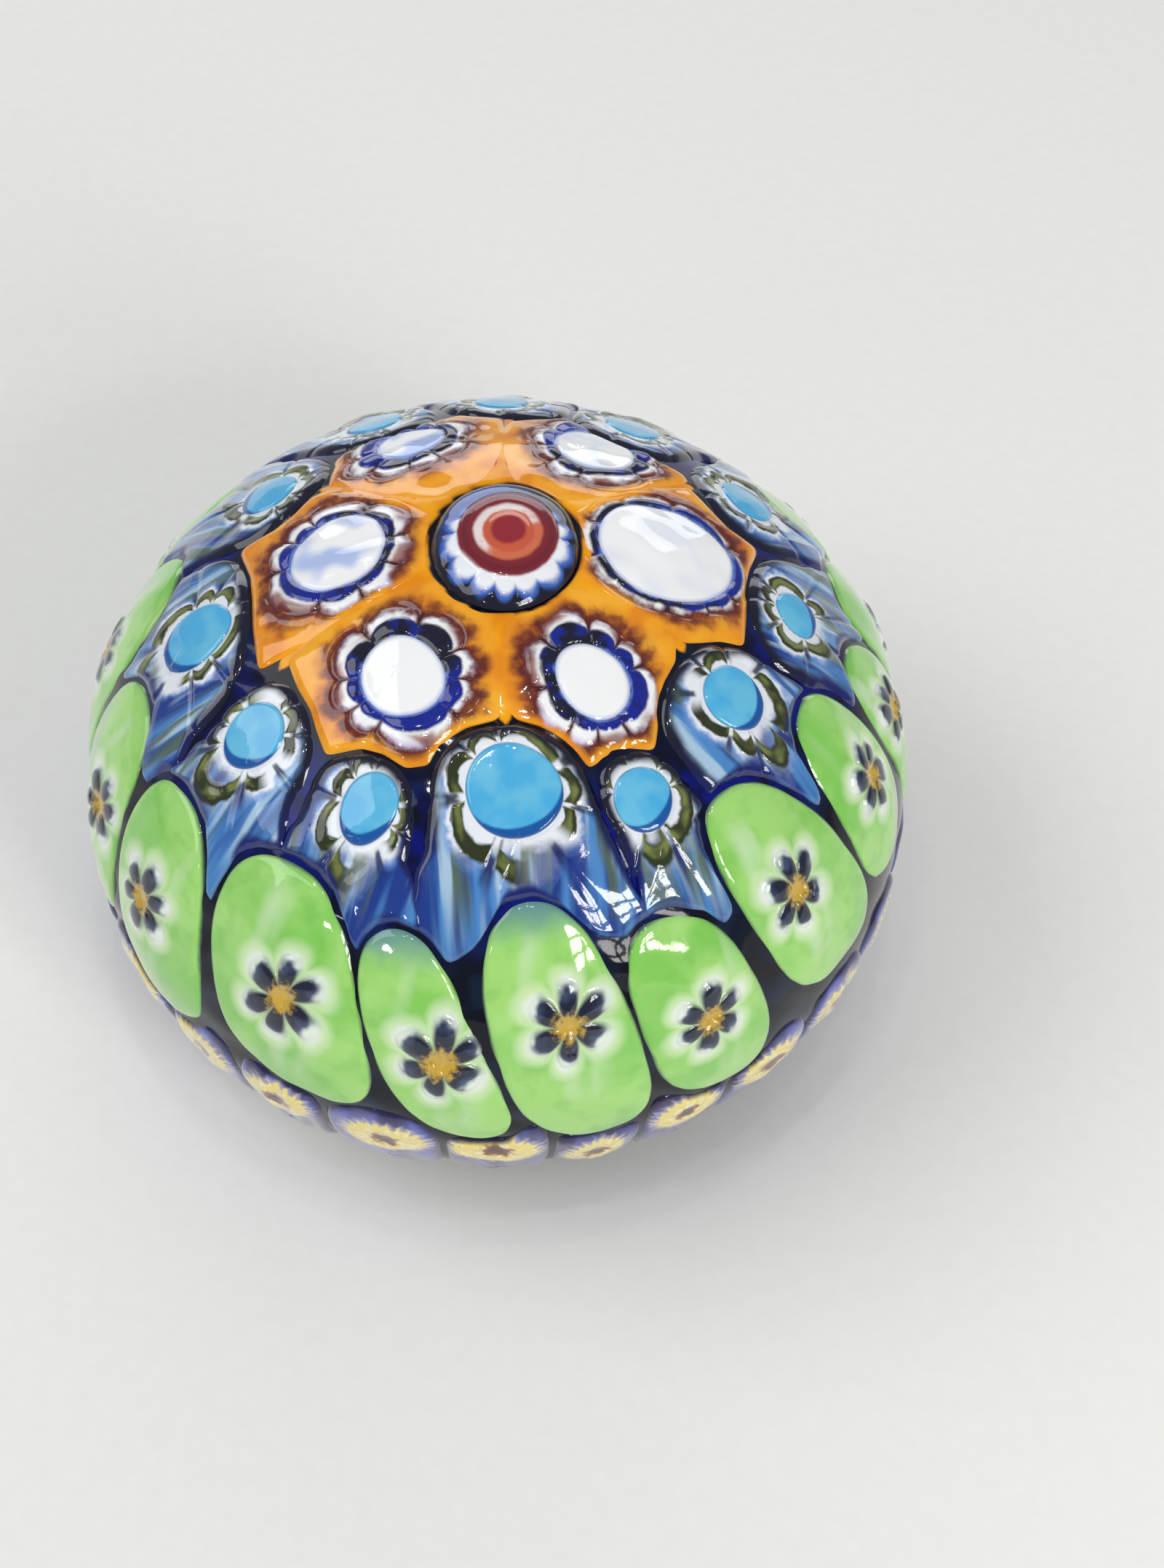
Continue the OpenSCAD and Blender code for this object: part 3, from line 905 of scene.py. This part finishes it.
GREEN_SEED = 300
GREEN_ROUNDING = 0.055
GREEN_GROW = 0.3
FIRST_GREEN_GROW = 0.55
GREEN_FLOWERS = {
    # to the right and up from the middle of the slice, size, turn of the petals
    1: (0.0, 2.4, 1.1, 0.3),
    2: (0.0, 0.2, 1.0, 0.9),
    3: (-1.4, 1.2, 1.0, 0.1),
    4: (0.5, 0.5, 0.95, 0.6),
    5: (-0.8, 2.6, 0.9, 0.0),
    14: (1.6, 0.4, 1.0, 0.4),
    15: (-1.0, 0.5, 1.05, 0.7),
    16: (0.3, 0.2, 1.15, 0.2),
    17: (0.8, 0.2, 1.15, 0.5),
}
# How far above the upper edge the haze starts, on two canes in front and on the others
FRONT_GREENS = (1, 17)
FRONT_HAZE_ABOVE = 0.2
HAZE_ABOVE = 3.2


def green_canes():
    """The green canes. The first one, in front, is grown more, up to its neighbours."""
    return [Cane(node, GREEN_ROUNDING, FIRST_GREEN_GROW if number == 1 else GREEN_GROW)
            for number, node in enumerate(names("green_cane"), 1)]


def build_green(material):
    for number, cane in enumerate(green_canes(), 1):
        rng = np.random.default_rng(GREEN_SEED + number)
        spread = rng.uniform(-0.5, 0.5), rng.uniform(-0.3, 1.0), rng.uniform(0.9, 1.1), rng.uniform(0, 1)
        right, up, scale, seed = GREEN_FLOWERS.get(number, spread)
        x, y = cane.lay_grid(FINE)
        ex = (x - right) / scale + 0.12 * ripples(x, y, rng, 3, 6)
        ey = (y - up) / (1.12 * scale) + 0.12 * ripples(x, y, rng, 3, 6)
        shape, _ = petal_shape(ex, ey, 1.7, 1.4, 0.88, seed)
        reach = np.hypot(ex, ey)
        height = pebble(cane, 0.5, 0.25)
        height += 0.28 * np.sqrt(np.clip(1 - shape, 0, 1)) * smooth(reach, 0.3, 1.0)
        height -= 0.06 * smooth(shape, 2.0, 1.0) * smooth(shape, 0.7, 1.0) * smooth(reach, 4.5, 3.0)
        height += 0.07 * ripples(x, y * 0.6, rng, 5, 6.0)
        haze_top = -cane.top - (FRONT_HAZE_ABOVE if number in FRONT_GREENS else HAZE_ABOVE)
        build_cane(cane, (ex, ey, reach), seed, height, material,
                   look=(haze_top, 0.0, 0.0))


TURQUOISE_SEED = 200
TURQUOISE_ROUNDING = 0.03
TURQUOISE_GROW = 0.05
NEIGHBOUR_ROUNDING = 0.02
TURQUOISE_EYES = {
    # half width, half height, to the right and up from the middle of the slice
    1: (3.6, 3.6, -0.1, 3.3),
    2: (2.4, 2.4, -0.4, 2.8),
    3: (2.5, 2.8, 0.7, 1.2),
    4: (2.1, 2.1, -0.7, 1.5),
    5: (2.5, 2.5, -0.1, 1.6),
    9: (2.6, 2.6, -0.4, 2.9),
    10: (2.8, 3.6, -0.3, 1.2),
    11: (2.5, 2.8, -1.3, 2.5),
    12: (2.1, 2.9, 0.2, 2.3),
}
PLAIN_BUTTON = (2.4, 2.5, -0.2, 2.4)
TAIL_GROW = 2.6
TAIL_MARGIN = 0.25
TAIL_START = 0.7
TAIL_STRETCH = 0.55
BUTTON_WOBBLE = 0.03


def build_turquoise(material):
    greens = green_canes()
    plain = {node: Cane(node, NEIGHBOUR_ROUNDING, 0.0) for node in names("turquoise_cane")}
    for number, node in enumerate(names("turquoise_cane"), 1):
        rng = np.random.default_rng(TURQUOISE_SEED + number)
        half_width, half_height, right, up = TURQUOISE_EYES.get(number, PLAIN_BUTTON)
        cane = Cane(node, TURQUOISE_ROUNDING, TURQUOISE_GROW)
        neighbours = greens + [other for name, other in plain.items() if name != node]
        cane.flow_down(neighbours, TAIL_GROW, TAIL_MARGIN)
        x, y = cane.lay_grid(FINE)
        # The pattern is pulled out downhill below the button. The button is not, so its rim is worked out
        # again with the same random numbers.
        tail_y = up - half_height * TAIL_START
        down = np.maximum(tail_y - y, 0)
        pulled = np.where(down > 0, tail_y - TAIL_STRETCH * down, y)
        _, _, d = eye_field(x, pulled, (right, up), half_width, half_height, rng, BUTTON_WOBBLE)
        again = np.random.default_rng(TURQUOISE_SEED + number)
        _, _, button = eye_field(x, y, (right, up), half_width, half_height, again, BUTTON_WOBBLE)
        d = np.where(button < 0.1, button, np.minimum(np.maximum(d, 0.1), button))
        seed = rng.uniform(0, math.pi)
        olive, _, bump = olive_arcs(d, np.arctan2(x - right, up - y), seed)
        height = pebble(cane, 0.15, 0.1)
        height += 0.2 * smooth(button, 0.1, -0.18) + 0.06 * smooth(button, 0.0, -half_width)
        height += groove(button, 0.16, 0.08)
        height += 0.07 * olive + 0.1 * bump * smooth(d, 0.6, 1.2) * smooth(d, 3.2, 1.6)
        height -= 0.08 * smooth(bump, 0.3, 0.05) * smooth(d, 0.4, 1.0)
        height += 0.06 * ripples(x, y * 0.5, rng, 5, 4.2)
        build_cane(cane, (x - right, y - up, d), seed, height, material,
                   look=(half_height, 0.0, 0.0))


SKIRT_SEED = 400
SKIRT_ROUNDING = 0.055
SKIRT_GROW = 0.12
SKIRT_FLOWER_WIDTH = 3.4
SKIRT_FLOWER_HEIGHT = 2.4
SKIRT_FLOWER_DOWN = 4.2


def build_skirt(material):
    for number, node in enumerate(names("skirt_cane"), 1):
        rng = np.random.default_rng(SKIRT_SEED + number)
        cane = Cane(node, SKIRT_ROUNDING, SKIRT_GROW)
        x, y = cane.lay_grid(FINE * 1.3)
        half_width = min(SKIRT_FLOWER_WIDTH, cane.half_width - 0.7) * rng.uniform(0.9, 1.05)
        up = cane.top - SKIRT_FLOWER_DOWN + rng.uniform(-0.3, 0.3)
        right = rng.uniform(-0.3, 0.3)
        ex, ey, d = eye_field(x, y, (right, up), half_width, SKIRT_FLOWER_HEIGHT, rng, 0.05)
        height = pebble(cane, 0.3, 0.15)
        height += 0.12 * smooth(d, 0.3, -0.4) - 0.06 * smooth(np.hypot(ex, ey), 0.5, 0.2)
        height += 0.05 * ripples(x, y * 0.4, rng, 6, 2.5)
        build_cane(cane, (ex, ey, d), rng.uniform(0, 9), height, material)


CROWN_SEED = 500
CROWN_ROUNDING = 0.01
CROWN_GROW = 0.1
CROWN_DOME = 1.3
CROWN_HALF_WIDTH = 5.8
CROWN_HALF_LENGTH = 6.7


def build_crown(material):
    rng = np.random.default_rng(CROWN_SEED)
    cane = Cane(CROWN_CANE, CROWN_ROUNDING, CROWN_GROW)
    x, y = cane.lay_grid(FINE * 0.8)
    ex, ey = x - 0.2, y / 1.12 - 0.1
    reach = np.hypot(ex, ey)
    _, folds = crown_ruffle(ex, ey)
    share = np.hypot(x / CROWN_HALF_WIDTH, y / CROWN_HALF_LENGTH)
    height = CROWN_DOME * np.sqrt(np.clip(1 - 0.9 * share**2, 0, 1)) - 0.3
    height += 0.12 * smooth(reach, 4.05, 3.6) - 0.1 * smooth(reach, 2.9, 2.5) + 0.08 * smooth(reach, 1.8, 1.3)
    height += 0.14 * (folds - 0.5) * smooth(reach, 3.9, 4.4) * smooth(reach, 5.9, 5.0) * smooth(y, 2.0, 0.0)
    height += 0.03 * ripples(x, y, rng, 5, 4.0)
    build_cane(cane, (ex, ey, reach), 0.0, height, material)


# ---- The glass body, which shows in the joints, with its foot and ground base ----
BODY_SEED = 7
BODY_ROWS = 170
BODY_COLUMNS = 480
JOINT_DEPTH = 0.45
AMBER_END = 22
AMBER_FILL = 1.3
AMBER_RIM = 0.103
BASE_ARC = float(arc_at(np.array(math.pi - math.acos(EQUATOR / SIDE_R))))
# How far before the edge of the base the rounded surface ends, and the bare foot starts and is full
SKIN_END = 1.2
FOOT_START = 6.2
FOOT_FULL = 3.8
# Rings round the edge of the base: radius past that of the base, and height
BASE_EDGE = ((0.25, 0.55), (-0.05, 0.2), (-0.45, 0.03), (-0.9, 0.0))
BASE_RINGS = (0.93, 0.8, 0.6, 0.4, 0.2)
FIRST_GROUND_RING = 2


def amber_fill(arc, place):
    """Share of melted amber glass at points of the body: 1 in the joints between amber canes and round
    the crown cane, 0 under the canes and further down."""
    ambers = [Cane(node, AMBER_ROUNDING, 0.0) for node in names("amber_cane")]
    rims = [amber.rim() for amber in ambers]
    fill = np.zeros(arc.shape)
    for i in np.flatnonzero(arc[:, 0] < AMBER_END):
        away = np.sort([np.linalg.norm(place[i][:, None] - rim[::2], axis=-1).min(1) for rim in rims], 0)
        fill[i] = smooth(away[1], AMBER_FILL, AMBER_FILL * 0.6)
    past_crown = Cane(CROWN_CANE, CROWN_ROUNDING, 0.0).beyond(place)
    fill = np.maximum(fill, smooth(past_crown, 3.9, 3.0)) * smooth(past_crown, 0.25, 0.5)
    for amber in ambers:
        fill[(amber.beyond(place) < -0.5) & (arc < AMBER_END)] = 0.0
    return fill


def build_body(material):
    """Its material reads one vector, joint: the share of amber glass, whether the surface is ground, and
    the arc."""
    azimuths = np.arange(BODY_COLUMNS) / BODY_COLUMNS * TURN
    arcs = np.linspace(0.0, BASE_ARC - SKIN_END, BODY_ROWS)
    arc, azimuth = np.meshgrid(arcs, azimuths, indexing="ij")
    place, normal = on_body(arc, azimuth)
    fill = amber_fill(arc, place)
    rng = np.random.default_rng(BODY_SEED)
    height = 0.07 * ripples(place[..., 0], place[..., 1] + place[..., 2], rng, 8, 5.0) - JOINT_DEPTH
    foot = smooth(arc, BASE_ARC - FOOT_START, BASE_ARC - FOOT_FULL)
    height = (height * (1 - fill) - (AMBER_RIM + amber_drop(arc)) * fill) * (1 - foot)
    skin = at_vertices(place + normal * height[..., None])
    outward = np.stack([np.sin(azimuths), -np.cos(azimuths), np.zeros(BODY_COLUMNS)], -1)
    rings = [outward * (BASE_R + r) + np.array([0, 0, z]) for r, z in BASE_EDGE]
    rings += [outward * BASE_R * share for share in BASE_RINGS]
    points = np.concatenate([skin, *rings, np.zeros((1, 3))])

    joint = np.zeros((len(points), 3))
    joint[:len(skin), 0] = at_vertices(fill)
    joint[len(skin) + FIRST_GROUND_RING * BODY_COLUMNS:, 1] = 1.0
    joint[:len(skin), 2] = at_vertices(arc)
    joint[len(skin):, 2] = BASE_ARC
    faces = disc_faces(BODY_ROWS - 1 + len(rings), BODY_COLUMNS)
    last = len(points) - 1
    end = last - BODY_COLUMNS
    faces += [(end + j, end + (j + 1) % BODY_COLUMNS, last) for j in range(BODY_COLUMNS)]
    make_object("glass_body_dark", points, faces, {"joint": joint}, material, "glass_body")


build_body(body_material())
build_crown(crown_material())
build_amber(amber_material())
build_turquoise(turquoise_material())
build_green(green_material())
build_skirt(skirt_material())

# ---- Floor, light and camera ----
FLOOR_SIZE = 5.0


def build_floor():
    half = FLOOR_SIZE / 2
    mesh = bpy.data.meshes.new("floor")
    mesh.from_pydata([(-half, -half, 0), (half, -half, 0), (half, half, 0), (-half, half, 0)], [],
                     [(0, 1, 2, 3)])
    floor = bpy.data.objects.new("floor", mesh)
    bpy.context.scene.collection.objects.link(floor)
    paper = Glass("pale_paper")
    colour = paper.mix(PAPER_DARK, PAPER_LIGHT, paper.noise(0.6, detail=4.0))
    paper.tree.links.new(colour, paper.shader.inputs["Base Color"])
    paper.shader.inputs["Roughness"].default_value = 0.75
    paper.shader.inputs["Coat Weight"].default_value = 0.0
    mesh.materials.append(paper.material)


WORLD_COLOUR = (0.92, 0.95, 1.0, 1.0)
WORLD_STRENGTH = 0.35
LIGHT_AIM = Vector((0, 0, 0.02))
# Azimuth and elevation in degrees, distance, width and height in metres, power in watts, colour
LIGHTS = {
    "back_window": (180, 20, 1.0, 1.1, 0.4, 2.7, (0.97, 0.985, 1.0)),
    "left_fill": (-85, 46, 1.0, 0.9, 0.6, 3.9, (0.97, 0.98, 1.0)),
    "left_lamp": (-32, 28, 0.6, 0.03, 0.03, 0.06, (1, 1, 1)),
}
# The panes of the window that shines in the front of the glass
PANE_AZIMUTHS = (33, 44)
PANE_ELEVATIONS = (21, 29, 37)
PANE = (0.6, 0.08, 0.06, 0.25, (1.0, 0.99, 0.95))
LAMPS = ((0, 88), (-35, 74), (30, 78))
LAMP = (0.6, 0.02, 0.02, 0.1, (1, 1, 1))


def area_light(name, azimuth, elevation, distance, width, height, watts, colour):
    """A soft box at an azimuth and elevation, in degrees, seen from the object."""
    data = bpy.data.lights.new(name, "AREA")
    data.shape = "RECTANGLE"
    data.size, data.size_y = width, height
    data.energy = watts
    data.color = colour
    light = bpy.data.objects.new(name, data)
    a, e = math.radians(azimuth), math.radians(elevation)
    direction = Vector((math.sin(a) * math.cos(e), -math.cos(a) * math.cos(e), math.sin(e)))
    light.location = LIGHT_AIM + direction * distance
    light.rotation_mode = "QUATERNION"
    light.rotation_quaternion = (-direction).to_track_quat("-Z", "Y")
    bpy.context.scene.collection.objects.link(light)


def build_lights():
    world = bpy.data.worlds.new("studio")
    world.use_nodes = True
    background = world.node_tree.nodes["Background"]
    background.inputs["Color"].default_value = WORLD_COLOUR
    background.inputs["Strength"].default_value = WORLD_STRENGTH
    bpy.context.scene.world = world
    for name, values in LIGHTS.items():
        area_light(name, *values)
    for column, azimuth in enumerate(PANE_AZIMUTHS):
        for row, elevation in enumerate(PANE_ELEVATIONS):
            area_light(f"window_{column}{row}", azimuth, elevation, *PANE)
    for number, (azimuth, elevation) in enumerate(LAMPS, 1):
        area_light(f"lamp_{number}", azimuth, elevation, *LAMP)


# The photo's camera, fitted to the outline. The range is to the middle of the widest line, and right and
# up say how far that point is off the image's middle, in metres.
FOCAL_PX = 3065
IMAGE_PX = 2156
SENSOR_MM = 36.0
CAMERA_ELEVATION = math.radians(53.1)
CAMERA_ROLL = math.radians(2.2)
CAMERA_RANGE = 0.1925
OBJECT_RIGHT = -0.0071
OBJECT_UP = 0.00124


def build_camera():
    right = Vector((1, 0, 0))
    forward = Vector((0, math.cos(CAMERA_ELEVATION), -math.sin(CAMERA_ELEVATION)))
    up = right.cross(forward)
    rolled_right = right * math.cos(CAMERA_ROLL) + up * math.sin(CAMERA_ROLL)
    rolled_up = up * math.cos(CAMERA_ROLL) - right * math.sin(CAMERA_ROLL)
    middle = Vector((0, 0, EQUATOR * MM))
    place = middle - rolled_right * OBJECT_RIGHT - rolled_up * OBJECT_UP - forward * CAMERA_RANGE
    data = bpy.data.cameras.new("camera")
    data.sensor_width = SENSOR_MM
    data.lens = FOCAL_PX / IMAGE_PX * SENSOR_MM
    data.clip_start, data.clip_end = 0.01, 10
    camera = bpy.data.objects.new("camera", data)
    turned = Matrix((rolled_right, rolled_up, -forward)).transposed().to_4x4()
    camera.matrix_world = Matrix.Translation(place) @ turned
    bpy.context.scene.collection.objects.link(camera)
    bpy.context.scene.camera = camera


build_floor()
build_lights()
build_camera()
bpy.context.scene.view_settings.view_transform = "Standard"

bpy.context.view_layer.update()
